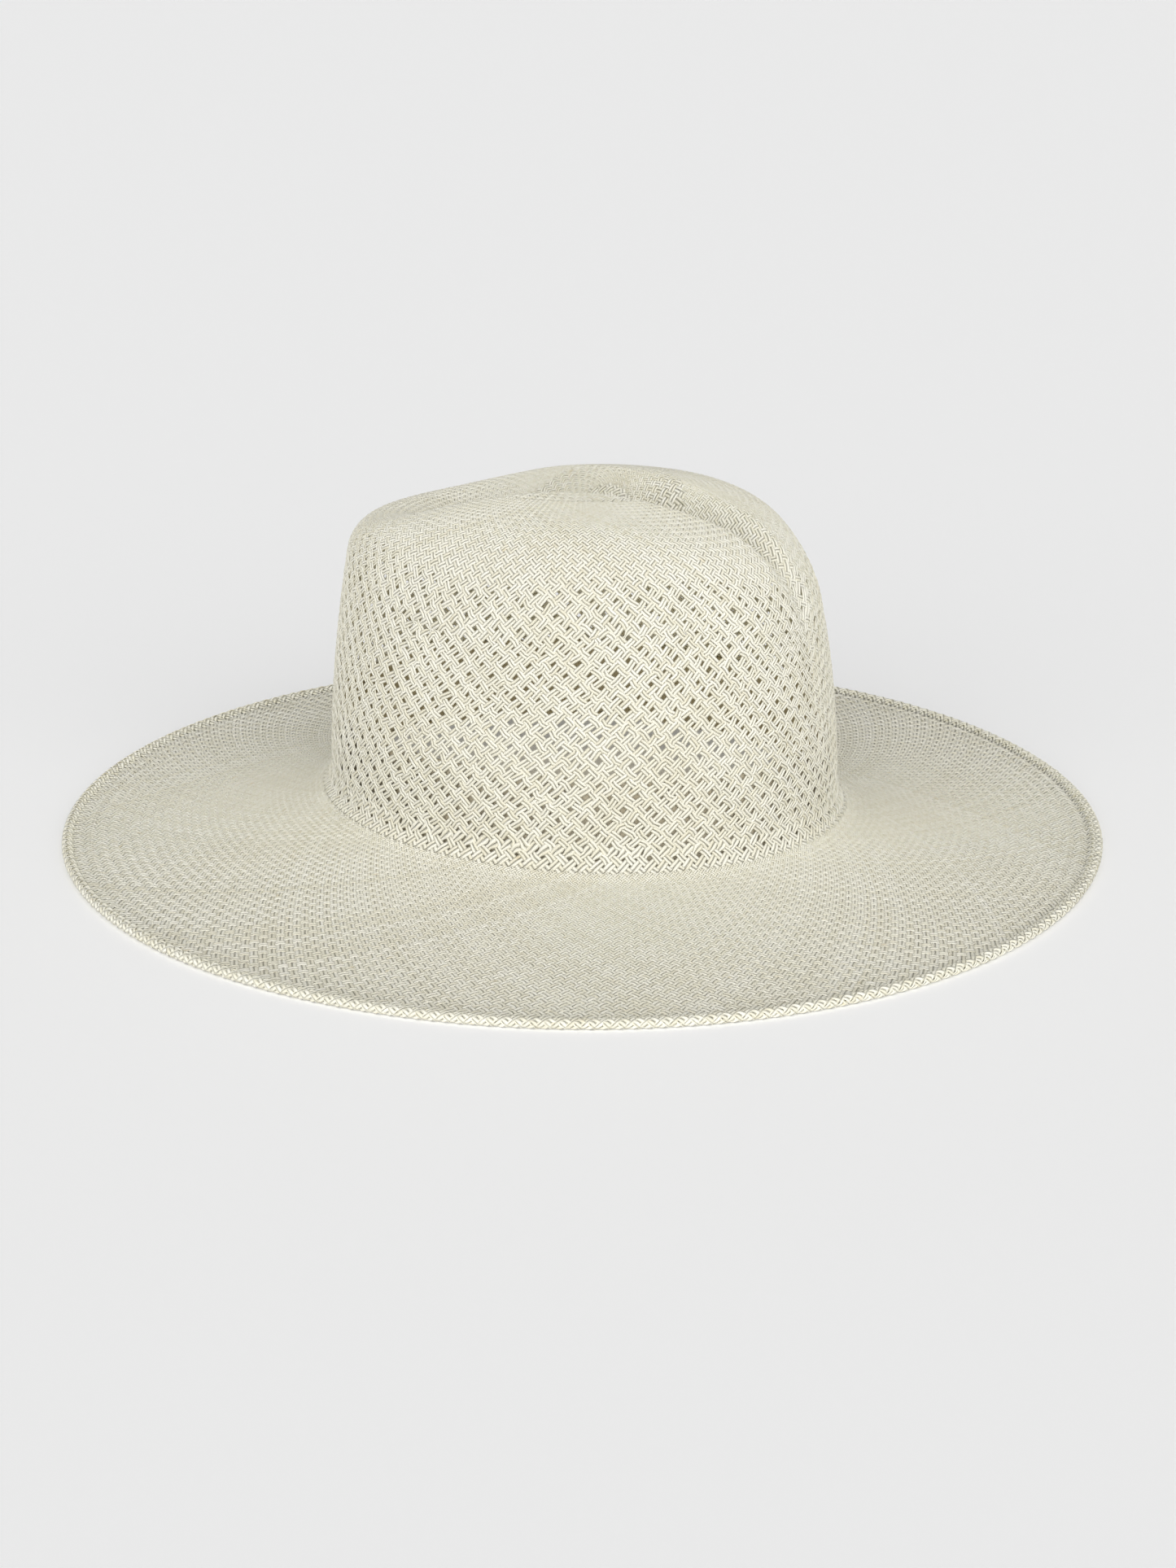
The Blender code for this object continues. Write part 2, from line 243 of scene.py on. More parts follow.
def outward(angle):
    x, y = np.sin(angle) / halfWidth, -np.cos(angle) / halfLength
    length = np.hypot(x, y)
    return x / length, y / length


def brimReach(angle):
    nx, ny = outward(angle)
    return hat["brimFront"] * ny**2 + hat["brimSide"] * nx**2 - hat["bead"]


def beyondCrown(angle, out, z):
    nx, ny = outward(angle)
    return stack(halfWidth * np.sin(angle) + nx * out, -halfLength * np.cos(angle) + ny * out, z)


def brimPoint(angle, out):
    reach = brimReach(angle)
    z = hat["rimTop"] + hat["brimDrop"] * (1 - np.clip(out / reach, 0, 1)) ** hat["brimSweep"]
    near = np.clip(hat["breakRadius"] - out, 0, hat["breakRadius"])
    z = z + hat["breakRadius"] - np.sqrt(np.maximum(hat["breakRadius"] ** 2 - near**2, 0))
    rise = ease(1 - (reach - hat["beadRiseEnd"] - out) / hat["beadRise"])
    return beyondCrown(angle, out, z + (2 * hat["bead"] - hat["rimTop"]) * rise)


def shoulderRadius(x, y):
    r = np.hypot(x / hat["tipWidth"], y / hat["tipLength"]) + 1e-9
    front = np.maximum(-y / hat["tipLength"] / r, 0) ** 2
    side = (x / hat["tipWidth"] / r) ** 2
    back = hat["shoulderBack"]
    side = side ** hat["shoulderSpread"]
    return back + (hat["shoulderFront"] - back) * front + (hat["shoulderSide"] - back) * side


def topLine(x, y):
    fall = np.where(y > hat["peakY"], hat["fallBack"], hat["fallFront"])
    across, along = hat["fallOver"]
    height = hat["crownHeight"] - fall * ((y - hat["peakY"]) / along) ** 2
    return height - hat["fallSide"] * (x / across) ** 2


def smoothly(x, stations, values):
    shifts = hat["creaseSmoothing"]
    return sum(np.interp(x + shift, stations, values) for shift in shifts) / len(shifts)


def crease(x, y):
    front, back = hat["creaseY"]
    along = (y - front) / (back - front)
    width = smoothly(along, hat["creaseWidthAt"], hat["creaseWidth"])
    depth = smoothly(along, hat["creaseDepthAt"], hat["creaseDepth"])
    return depth * np.cos(pi / 2 * np.clip(np.abs(x) / width, 0, 1)) ** 2


def shoulderFall(share, radius):
    start = 1 - radius / hat["shoulderSpan"]
    t = hat["shoulderSteep"] * np.clip((share - start) / (1 - start), 0, 1)
    return radius * (1 - np.sqrt(1 - t * t))


def pinched(angle, x, y, z):
    turn = np.abs((angle + pi) % (2 * pi) - pi)
    across = (turn - hat["pinchAngle"]) * halfLength / hat["pinchSize"]
    share = np.hypot(x / hat["tipWidth"], y / hat["tipLength"]) * 2
    push = np.exp(-(across**2) - ((z - hat["pinchHeight"]) / hat["pinchSize"]) ** 2)
    push = hat["pinchDepth"] * push * np.minimum(share, 1)
    nx, ny = outward(angle)
    return stack(x - nx * push, y - ny * push, z + breakZ)


def tipPlace(angle, share=1.0):
    # x, y and height on the top, at a share of the way from its middle to the wall
    x = hat["tipWidth"] / 2 * share * np.sin(angle)
    y = -hat["tipLength"] / 2 * share * np.cos(angle)
    return x, y, topLine(x, y) - shoulderFall(share, shoulderRadius(x, y)) - crease(x, y)


def wallPoint(angle, z):
    topX, topY, topZ = tipPlace(angle)
    t = np.clip(z / topZ, 0, 1) ** hat["taper"]
    footX, footY = halfWidth * np.sin(angle), -halfLength * np.cos(angle)
    return pinched(angle, footX + (topX - footX) * t, footY + (topY - footY) * t, z)


def hatPoint(angle, m):
    # m runs down the hat: 0 to 1 over the top, 1 to 2 down the wall, 2 to 3 over the brim
    angle, m = np.broadcast_arrays(angle, m)
    foot = hat["breakRadius"]
    z = tipPlace(angle)[2]
    z = z + (foot - z) * np.clip(m - 1, 0, 1)
    out = (brimReach(angle) - hat["beadFoot"]) * np.clip(m - 2, 0, 1)
    top = pinched(angle, *tipPlace(angle, np.clip(m, 0, 1)))
    m = m[..., None]
    return np.where(m <= 1, top, np.where(m <= 2, wallPoint(angle, z), brimPoint(angle, out)))


def edgePoint(angle, k):
    # k runs from 0 at the foot of the bead over the rolled edge and back under the brim to 1
    rise, roll, hem = hat["beadFoot"], pi * hat["bead"], hat["hemWidth"]
    reach = brimReach(angle)
    along = k * (rise + roll + hem)
    over = brimPoint(angle, reach - rise + np.clip(along, 0, rise))
    turn = pi / 2 - np.clip((along - rise) / hat["bead"], 0, pi)
    back = np.clip(along - rise - roll, 0, hem)
    out, z = reach + hat["bead"] * np.cos(turn) - back, hat["bead"] * (1 + np.sin(turn))
    return np.where((along < rise)[..., None], over, beyondCrown(angle, out, z))


def bandPoint(angle, z, depth):
    # a point z above the break and a depth inside the wall, on the sweatband's straight slope
    low, high = wallPoint(angle, band["lift"]), wallPoint(angle, band["lift"] + band["height"])
    share = (z - band["lift"]) / band["height"]
    x, y = (low[..., i] + (high[..., i] - low[..., i]) * share for i in (0, 1))
    nx, ny = outward(angle)
    return stack(x - nx * depth, y - ny * depth, z + breakZ)


# mesh and material helpers


def addPiece(name, mesh, material, slot, *nodes):
    piece = bpy.data.objects.new(name, mesh)
    mesh.materials.append(material)
    bpy.context.scene.collection.objects.link(piece)
    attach(piece, "root")
    if nodes:
        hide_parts(*nodes)
    return piece


def meshFrom(name, points, quads, strips, lengths, tones):
    # strips and lengths hold one pair of map coordinates for each corner of each face
    mesh = bpy.data.meshes.new(name)
    quads = quads.reshape(-1, 4).astype(np.int32)
    mesh.vertices.add(len(points))
    mesh.vertices.foreach_set("co", np.ascontiguousarray(points, np.float32).ravel())
    mesh.loops.add(quads.size)
    mesh.loops.foreach_set("vertex_index", quads.ravel())
    mesh.polygons.add(len(quads))
    mesh.polygons.foreach_set("loop_start", np.arange(0, quads.size, 4, dtype=np.int32))
    mesh.update(calc_edges=True)
    mesh.shade_smooth()
    for title, corners in (("OFBake", strips), ("lengthways", lengths)):
        layer = mesh.uv_layers.new(name=title)
        layer.data.foreach_set("uv", np.ascontiguousarray(corners, np.float32).ravel())
    attribute = mesh.attributes.new("tone", "FLOAT", "POINT")
    attribute.data.foreach_set("value", tones.astype(np.float32).ravel())
    mesh.validate()
    return mesh


def unit(v):
    return v / (np.linalg.norm(v, axis=-1, keepdims=True) + 1e-12)


class Nodes:
    # short ways to write a material's nodes
    def __init__(self, name):
        self.material = bpy.data.materials.new(name)
        self.material.use_nodes = True
        self.tree = self.material.node_tree
        self.shader = self.tree.nodes["Principled BSDF"]

    def add(self, kind, **settings):
        node = self.tree.nodes.new("ShaderNode" + kind)
        for key, value in settings.items():
            setattr(node, key, value)
        return node

    def join(self, source, target):
        self.tree.links.new(source, target)

    def set(self, **values):
        for key, value in values.items():
            self.shader.inputs[key.replace("_", " ")].default_value = value

    def maths(self, operation, a, b=0.0):
        node = self.add("Math", operation=operation)
        for socket, value in zip(node.inputs, (a, b)):
            if isinstance(value, (int, float)):
                socket.default_value = value
            else:
                self.join(value, socket)
        return node.outputs[0]

    def varied(self, amount, spread, roughness):
        # a roughness that follows the fibres
        rough = self.maths("ADD", self.maths("MULTIPLY", amount, spread), roughness)
        self.join(rough, self.shader.inputs["Roughness"])

    def stretched(self, source, scale):
        node = self.add("Mapping")
        node.inputs["Scale"].default_value = scale
        self.join(source, node.inputs["Vector"])
        return node.outputs[0]

    def noise(self, place, scale, detail, rough=0.5):
        node = self.add("TexNoise")
        node.inputs["Scale"].default_value = scale
        node.inputs["Detail"].default_value = detail
        node.inputs["Roughness"].default_value = rough
        self.join(place, node.inputs["Vector"])
        return node.outputs["Fac"]

    def ramp(self, value, *stops):
        node = self.add("ValToRGB")
        marks = node.color_ramp.elements
        while len(marks) < len(stops):
            marks.new(0.5)
        for mark, (place, colour) in zip(marks, stops):
            mark.position = place
            mark.color = (*colour, 1)
        self.join(value, node.inputs["Fac"])
        return node.outputs["Color"]

    def blend(self, share, a, b, kind="MIX"):
        node = self.add("Mix", data_type="RGBA", blend_type=kind)
        sockets = node.inputs["Factor"], node.inputs[6], node.inputs[7]
        for socket, value in zip(sockets, (share, a, b)):
            if isinstance(value, (int, float)):
                socket.default_value = value
            elif isinstance(value, tuple):
                socket.default_value = (*value, 1)
            else:
                self.join(value, socket)
        return node.outputs[2]

    def bump(self, height, distance):
        node = self.add("Bump")
        node.inputs["Distance"].default_value = distance
        node.inputs["Strength"].default_value = 1.0
        self.join(height, node.inputs["Height"])
        self.join(node.outputs["Normal"], self.shader.inputs["Normal"])


strawLook = {
    "pale": (0.90, 0.885, 0.795),
    "middle": (0.85, 0.83, 0.715),
    "dark": (0.80, 0.77, 0.635),
    "streak": (0.87, 0.855, 0.805),
    "fibres": (90, 5200, 1),  # to a metre along a straw and round it
    "fibreDepth": 0.00006,
    "aged": (0.77, 0.72, 0.55),  # large soft patches
    "agedShare": 0.22,
    "patches": 22,
    "freckle": (0.80, 0.70, 0.52),
    "freckles": (160, 160, 1),
    "freckleShare": 0.6,
    "roughness": 0.38,
    "roughnessSpread": 0.22,
    "gloss": 0.42,
    "sheen": 0.12,
    "sheenRoughness": 0.5,
}
white = (1.0, 1.0, 1.0)


def strawMaterial(name, lightShadeTint):
    n = Nodes(name)
    look = strawLook
    uv = n.add("UVMap", uv_map="lengthways").outputs["UV"]
    tone = n.add("Attribute", attribute_name="tone").outputs["Fac"]
    colour = n.ramp(tone, (0.0, look["dark"]), (0.35, look["middle"]), (1.0, look["pale"]))
    fibres = n.noise(n.stretched(uv, look["fibres"]), 1.0, 4, 0.6)
    streak = n.ramp(fibres, (0.30, look["streak"]), (0.62, white))
    colour = n.blend(1.0, colour, streak, "MULTIPLY")
    place = n.add("TexCoord").outputs["Object"]
    patches = n.ramp(n.noise(place, look["patches"], 3, 0.6), (0.45, (0, 0, 0)), (0.75, white))
    colour = n.blend(n.maths("MULTIPLY", patches, look["agedShare"]), colour, look["aged"])
    knots = n.noise(n.stretched(uv, look["freckles"]), 1.0, 2)
    freckle = n.ramp(knots, (0.22, look["freckle"]), (0.32, white))
    colour = n.blend(look["freckleShare"], colour, freckle, "MULTIPLY")
    # painted light and shade: multiplies the straw by the piece's tint, lighter on the rolled
    # edge, darker on the brim, unchanged on the crown
    colour = n.blend(1.0, colour, lightShadeTint, "MULTIPLY")
    n.join(colour, n.shader.inputs["Base Color"])
    n.varied(fibres, look["roughnessSpread"], look["roughness"])
    n.set(Specular_IOR_Level=look["gloss"])
    n.set(Sheen_Weight=look["sheen"], Sheen_Roughness=look["sheenRoughness"])
    n.bump(fibres, look["fibreDepth"])
    return n.material


# the weave: two families of strands cross each other on the slant, over one and under one;
# a strand is two straws side by side, and where the weave becomes finer each of them carries on
# as a strand of its own

weave = {
    "strawThick": 0.00044,
    "lift": 0.00026,  # rise and fall of a strand as it goes over and under
    "closed": 0.95,  # width of a strand as a share of the pitch where the weave is tight
    "ventShare": 0.17,  # how much narrower the strands are where the crown is vented
    "pairing": (0.175, 0.055),  # how far each family's strands draw together in pairs there
    "unevenVent": 0.13,
    "uneven": 0.035,
    "wander": ((0.5, 0.55), (0.35, 1.37), (0.5, 2.9)),  # size and pace of each slow wave
    "step": 0.4,
    "calmRows": 3,  # no wander so near to where zones meet
    "widthSpread": 0.10,
    "ridgeSpread": (0.85, 1.1),
    "ridgeAside": 0.10,
    "tuck": 0.00045,  # how deep the ends go under where the weave begins
    "tuckRows": 2,
    "mapMargin": 0.04,
    "grainShift": (0.37, 0.0111),  # so that no two straws have the same fibres
}


def unevenness(count, rows, draw):
    # a slow sideways wander for each strand, with a small step of its own at each crossing
    phase = draw.uniform(0, 2 * pi, (3, count, 1))
    n = np.arange(rows)[None, :]
    waves = zip(weave["wander"], phase)
    wave = sum(size * np.sin(pace * n + begin) for (size, pace), begin in waves)
    return wave * draw.uniform(0.6, 1.4, (count, 1)) + draw.normal(0, weave["step"], (count, rows))


def rowsAgainst(place, strands, mFrom, mTo):
    # counts rows from the local girth, so that the cells of the weave stay nearly square
    m = np.linspace(mFrom, mTo, 500)
    around = np.linspace(0, 2 * pi, 121)
    grid = place(around[None, :], m[:, None])
    girth = np.linalg.norm(np.diff(grid, axis=1), axis=-1).sum(1)
    step = np.linalg.norm(np.diff(grid, axis=0), axis=-1).mean(1)
    rows = np.concatenate([[0], np.cumsum(4 * step * strands / (girth[1:] + girth[:-1]))])
    even = 2 * int(round(rows[-1] / 2))  # the same family lies on top where two zones meet
    return m, rows * even / rows[-1], even


def strawMesh(name, sides, start, tones, joined=False):
    # sides holds the points of each strand, straw, section and corner; start is the first
    # section that is kept; a joined strand runs back into its own beginning
    strands, straws, sections, corners = sides.shape[:4]
    index = np.arange(sides.size // 3).reshape(strands, straws, sections, corners)
    if joined:
        index[:, :, -1] = index[:, :, 0]
    shape = (strands, straws, sections - 1, corners)
    section = np.arange(sections - 1)[None, None, :, None]
    keep = np.broadcast_to(section >= start[:, None, None, None], shape)
    nextCorner = (np.arange(corners) + 1) % corners
    a, b = index[:, :, :-1], index[:, :, 1:]
    quads = [np.stack([a, b, b[..., nextCorner], a[..., nextCorner]], -1)[keep]]
    # each straw has a strip of the map to itself, and its real length and girth in the other one
    run = np.linalg.norm(np.diff(sides.mean(3), axis=2), axis=-1)
    along = np.concatenate([np.zeros((strands, straws, 1)), np.cumsum(run, 2)], 2)
    cornerStep = np.linalg.norm(sides[..., 1, :] - sides[..., 0, :], axis=-1).mean()
    longest = along.max() * 1.002
    margin, (shiftAlong, shiftRound) = weave["mapMargin"], weave["grainShift"]
    row = np.arange(strands * straws).reshape(strands, straws, 1, 1)
    u0, u1 = along[:, :, :-1, None], along[:, :, 1:, None]
    v = np.arange(corners)
    strips, lengths = [], []
    for u, turn in ((u0, v), (u1, v), (u1, v + 1), (u0, v + 1)):
        place = (row + margin + (1 - 2 * margin) * turn / corners) / row.size
        real = u + row * shiftAlong, turn * cornerStep + row * shiftRound
        for places, pair in ((strips, (u / longest, place)), (lengths, real)):
            pair = np.stack(np.broadcast_arrays(*pair), -1)
            places.append(np.broadcast_to(pair, (*shape, 2))[keep])
    strips, lengths = [np.stack(strips, 1)], [np.stack(lengths, 1)]
    # the ends are closed
    which = np.arange(strands)
    tiny = np.array([(0, 0), (1e-4, 0), (1e-4, 1e-4), (0, 1e-4)])
    caps = () if joined else ((start, 1), (np.full(strands, sections - 1), -1))
    for ends, flip in caps:
        for k in range(straws):
            middle = (row[:, k, 0, 0] + 0.5) / row.size
            at = np.stack([along[which, k, ends] / longest, middle], -1)
            for c in range(corners // 2 - 1):
                cap = index[which, k, ends][:, [c, c + 1, corners - 2 - c, corners - 1 - c]]
                quads.append(cap[:, ::flip])
                strips.append((at[:, None, :] + tiny).clip(0, 1))
                lengths.append(np.broadcast_to(at[:, None, :], (strands, 4, 2)))
    used, faces = np.unique(np.concatenate(quads), return_inverse=True)
    tones = np.broadcast_to(tones[:, :, None, None], sides.shape[:4]).reshape(-1)[used]
    points = sides.reshape(-1, 3)[used]
    return meshFrom(name, points, faces, np.concatenate(strips), np.concatenate(lengths), tones)


def strawSides(path, normal, width, draw):
    # two straws lying side by side, each with a soft ridge on both faces
    across = unit(np.cross(normal, np.gradient(path, axis=1)))
    upward = unit(np.cross(np.gradient(path, axis=1), across))
    count = len(path)
    quarter = width[..., None] / 4
    sides = []
    for side in (-1, 1):
        half = quarter * draw.uniform(1 - weave["widthSpread"], 1.0, (count, 1, 1))
        middle = path + across * side * quarter
        high = draw.uniform(*weave["ridgeSpread"], (count, 1, 1))
        ridge = upward * weave["strawThick"] / 2 * high
        ridge = ridge + across * half * draw.normal(0, weave["ridgeAside"], (count, 1, 1))
        edge = across * half
        sides.append(np.stack([middle - edge, middle + ridge, middle + edge, middle - ridge], 2))
    return np.stack(sides, 1)


def makeZone(title, place, strands, ends, material, slot, nodes, turn=0.0, parts=1, vent=None,
             fine=1, tuck=False):
    # ends says where the zone begins and stops; fine adds sections between the crossings
    draw = np.random.default_rng(strands + 7 * len(title))
    mFrom, mTo = ends
    mTable, rowTable, rows = rowsAgainst(place, strands, mFrom, mTo)
    spacing = 2 * pi / strands
    i, n = np.arange(strands)[:, None], np.arange(rows + 1)[None, :]
    mRow = np.interp(n, rowTable, mTable)
    wander = [unevenness(strands, rows + 1, draw) for family in (0, 1)]
    calm = ease(n / weave["calmRows"]) * ease((rows - n) / weave["calmRows"])
    step = n + 0 * i
    for rising in (True, False):
        # angle and row of each crossing along the strands, and how airy the weave is there
        own = step * 0 + i
        home = i + n / 2 if rising else i - n / 2
        first, second = (own, (i + n) % strands) if rising else ((i - n) % strands, own)
        airy = vent(mRow) + 0 * home if vent else 0 * home
        loose = (weave["uneven"] + airy * weave["unevenVent"]) * calm
        pull = airy * np.array(weave["pairing"])[:, None, None]
        aside = loose * wander[0][first, step] + pull[0] * np.where(first % 2, -1, 1)
        beside = loose * wander[1][second, step] + pull[1] * np.where(second % 2, -1, 1)
        angle, row = turn + spacing * (home + (aside + beside) / 2), n + beside - aside
        sections = 2 * fine * rows
        q = np.arange(sections + 1) / (2 * fine)
        low = np.minimum(q.astype(int), rows - 1)
        share = q - low
        angle, row, airy = (
            x[:, low] * (1 - share) + x[:, low + 1] * share for x in (angle, row, airy)
        )
        row = np.clip(row, 0, rows)
        m = np.interp(row, rowTable, mTable)
        tiny = 1e-4
        high, deep = np.minimum(m + tiny, mTo), np.maximum(m - tiny, mFrom)
        alongGirth = (place(angle + tiny, m) - place(angle - tiny, m)) / (2 * tiny) * spacing
        alongRows = (place(angle, high) - place(angle, deep)) / (high - deep)[..., None]
        perRow = np.interp(row, rowTable[1:], np.diff(mTable) / np.diff(rowTable))
        alongRows = alongRows * perRow[..., None]
        normal = unit(np.cross(alongRows, alongGirth))
        a, b = np.linalg.norm(alongGirth, axis=-1), np.linalg.norm(alongRows, axis=-1)
        width = a * b / np.hypot(a / 2, b) * (weave["closed"] - weave["ventShare"] * airy)
        wave = weave["lift"] * np.cos(pi * q) * (1 if rising else -1) - hat["straw"] / 2
        path = place(angle, m) + normal * wave[None, :, None]
        start = np.zeros(strands, int)
        if tuck:
            start = draw.integers(0, 2, strands) * fine
            gone = (np.arange(sections + 1)[None, :] - start[:, None]) / (weave["tuckRows"] * fine)
            dip = np.clip(1 - gone, 0, 1) ** 1.5
            path = path - normal * (dip * weave["tuck"])[..., None]
        sides = strawSides(path, normal, width, draw)
        tones = draw.uniform(0, 1, (strands, 2))
        block = -(-strands // parts)
        for part in range(parts):
            pick = slice(part * block, (part + 1) * block)
            number = str(part + 1) if parts > 1 else ""
            name = title + ("Rising" if rising else "Falling") + number
            mesh = strawMesh(name, sides[pick], start[pick], tones[pick])
            addPiece(name, mesh, material, slot, *nodes)


crownWeave = {
    "strands": 128,  # in each family, down the wall
    "topZones": ((0.42, 64), (0.21, 32)),  # outer end, as a share of the top, and strands
    "topStart": 0.085,
    "foot": 2.035,  # just past the bend
    "ventTop": (0.885, 0.94),  # the vents open between these, counted as in hatPoint
    "ventFoot": (1.985, 2.035),  # and close between these
    "parts": 2,  # pieces for each family of the wall
    "lightShadeTint": (1.0, 1.0, 1.0),
}


def crownVent(m):
    low, high = crownWeave["ventTop"]
    foot, end = crownWeave["ventFoot"]
    return ease((m - low) / (high - low)) * ease((end - m) / (end - foot))


def makeCrown():
    w = crownWeave
    straw = strawMaterial("crownStraw", w["lightShadeTint"])
    slot = "crown_straw"
    makeZone("crownWall", hatPoint, w["strands"], (w["topZones"][0][0], w["foot"]), straw, slot,
             ["crown_side"], parts=w["parts"], vent=crownVent)
    turn, inner = 0.0, [zone[0] for zone in w["topZones"][1:]] + [w["topStart"]]
    for k, (outer, strands) in enumerate(w["topZones"]):
        turn += pi / (2 * strands)  # half a strand of the finer weave outside it
        last = k == len(w["topZones"]) - 1
        makeZone("crownTop" + str(k + 1), hatPoint, strands, (inner[k], outer), straw, slot,
                 ["crown_tip"], turn=turn, fine=2, tuck=last)
    makeStart(straw)
    print("crown woven")


# the little square weave in the middle of the top, where the hat is begun
start = {"reach": 0.0100, "pitch": 0.0021, "closed": 0.97, "raised": 0.0001}


def makeStart(straw):
    draw = np.random.default_rng(5)
    pitch, reach = start["pitch"], start["reach"]
    half = int(reach / pitch)
    lines = np.arange(-half, half + 1)
    q = np.arange(-2 * half, 2 * half + 1) / 2

    def topAt(x, y):
        return stack(x, y, topLine(x, y) - crease(x, y) + breakZ)

    for first in (True, False):
        along, aside = np.meshgrid(q, lines * pitch)
        along = along * np.sqrt(np.maximum(reach**2 - aside**2, 0)) / half
        sign = 1 if first else -1
        x, y = (along - sign * aside) / np.sqrt(2), (sign * along + aside) / np.sqrt(2)
        tiny = 1e-4
        acrossTop = topAt(x + tiny, y) - topAt(x - tiny, y)
        normal = unit(np.cross(acrossTop, topAt(x, y + tiny) - topAt(x, y - tiny)))
        parity = np.where(lines % 2, -1, 1)[:, None] * sign
        wave = weave["lift"] * np.cos(pi * along / pitch) * parity
        wave = wave + start["raised"] - hat["straw"] / 2
        path = topAt(x, y) + normal * wave[..., None]
        sides = strawSides(path, normal, np.full(along.shape, pitch * start["closed"]), draw)
        name = "crownStart" + ("Rising" if first else "Falling")
        tones = draw.uniform(0, 1, (len(lines), 2))
        mesh = strawMesh(name, sides, np.zeros(len(lines), int), tones)
        addPiece(name, mesh, straw, "crown_straw")


brimWeave = {
    # painted shade: the brim's straw is a little darker than the crown's, for the flat brim that
    # takes less light
    "lightShadeTint": (0.985, 0.985, 0.985),
    # painted light: the rolled edge's straw is made lighter than the rest, to make up for the
    # shade under the downward-facing bead
    "edgeLightTint": (1.07, 1.07, 1.06),
    "parts": 3,
    "edgeParts": 2,
    "edgeFine": 4,  # more sections where the straw turns over the wire
}


def makeBrim():
    w = brimWeave
    # a slightly darker copy of the straw for the brim, with painted shade
    straw = strawMaterial("brimShadedStraw", w["lightShadeTint"])
    # a lighter copy of the straw for the rolled edge, with painted light
    edge = strawMaterial("rolledEdgeLitStraw", w["edgeLightTint"])
    strands = 2 * crownWeave["strands"]
    turn = pi / strands
    slot = "brim_straw"
    makeZone("brim", hatPoint, strands, (crownWeave["foot"], 3.0), straw, slot, ["brim"],
             turn=turn, parts=w["parts"])
    makeZone("rolledEdge", edgePoint, strands, (0.0, 1.0), edge, slot, ["brim_hem"],
             turn=turn, parts=w["edgeParts"], fine=w["edgeFine"])
    print("brim woven")


# what is sewn inside the hat; for each cloth its pale and its dark threads, roughness, sheen,
# and the threads to a metre along the piece and round it

cloths = {
    "bandGrosgrain": ((0.62, 0.565, 0.43), (0.52, 0.465, 0.34), 0.52, 0.25, (2400, 1300, 1)),
    "tapeGrosgrain": ((0.56, 0.50, 0.37), (0.47, 0.415, 0.29), 0.56, 0.25, (1300, 2600, 1)),
    "labelWeave": ((0.88, 0.87, 0.82), (0.76, 0.74, 0.68), 0.70, 0.10, (3200, 3200, 1)),
    "cottonThread": ((0.87, 0.85, 0.77), (0.72, 0.69, 0.58), 0.60, 0.25, (2600, 5200, 1)),
    "bowSatin": ((0.84, 0.80, 0.70), (0.70, 0.655, 0.54), 0.32, 0.40, (2600, 1400, 1)),
}
wear = {
    "colour": (0.90, 0.87, 0.80),
    "patches": 34,
    "shade": (0.93, 0.92, 0.90),  # of the darkest thread
    "roughnessSpread": 0.2,
    "sheenRoughness": 0.45,
    "gloss": 0.35,
    "threadDepth": 0.00008,
}
steel = {
    "dark": (0.50, 0.51, 0.52),
    "pale": (0.66, 0.67, 0.68),
    "drawn": (400, 400, 2600),  # marks to a metre
    "roughness": 0.22,
    "roughnessSpread": 0.25,
    "markDepth": 0.00002,
}


def clothMaterial(name):
    pale, dark, roughness, sheen, grain = cloths[name]
    n = Nodes(name)
    uv = n.add("UVMap", uv_map="lengthways").outputs["UV"]
    threads = n.noise(n.stretched(uv, grain), 1.0, 3, 0.55)
    colour = n.ramp(threads, (0.30, dark), (0.68, pale))
    place = n.add("TexCoord").outputs["Object"]
    patches = n.noise(place, wear["patches"], 3, 0.6)
    worn = n.ramp(patches, (0.42, white), (0.78, wear["colour"]))
    colour = n.blend(1.0, colour, worn, "MULTIPLY")
    tone = n.add("Attribute", attribute_name="tone").outputs["Fac"]
    shade = n.ramp(tone, (0.0, wear["shade"]), (1.0, white))
    n.join(n.blend(1.0, colour, shade, "MULTIPLY"), n.shader.inputs["Base Color"])
    n.varied(threads, wear["roughnessSpread"], roughness)
    n.set(Sheen_Weight=sheen, Sheen_Roughness=wear["sheenRoughness"])
    n.set(Specular_IOR_Level=wear["gloss"])
    n.bump(threads, wear["threadDepth"])
    return n.material


def steelMaterial():
    n = Nodes("drawnSteel")
    place = n.add("TexCoord").outputs["Object"]
    drawn = n.noise(n.stretched(place, steel["drawn"]), 1.0, 4, 0.6)
    colour = n.ramp(drawn, (0.35, steel["dark"]), (0.70, steel["pale"]))
    n.join(colour, n.shader.inputs["Base Color"])
    n.varied(drawn, steel["roughnessSpread"], steel["roughness"])
    n.set(Metallic=1.0)
    n.bump(drawn, steel["markDepth"])
    return n.material


bandOuter = hat["straw"] + band["gap"]
bandInner = bandOuter + band["thick"]
onBand = bandInner + band["gap"]  # where the tape and the label lie


def ribbonSides(angles, heights, outer, inner, press):
    # a flat ribbon on the band's slope with rounded edges; press says how deep its faces go in
    edge = np.zeros(len(heights))
    edge[[0, -1]] = band["edgeRound"] * (inner - outer)
    inside, outside = inner - edge - press, outer + edge + press / 2
    z = np.concatenate([heights, heights[::-1]])[None, :]
    depth = np.concatenate([outside, inside[:, ::-1]], 1)
    return bandPoint(angles[:, None], z, depth)[None, None]


def anglesEvenly(first, last, pitch, height):
    # angles a set distance apart along the band, and that distance run
    fine = np.linspace(first, last, 4000)
    step = np.linalg.norm(np.diff(bandPoint(fine, height + 0 * fine, bandInner), axis=0), axis=1)
    run = np.concatenate([[0], np.cumsum(step)])
    along = np.linspace(0, run[-1], int(round(run[-1] / pitch)) + 1)
    return np.interp(along, run, fine), along


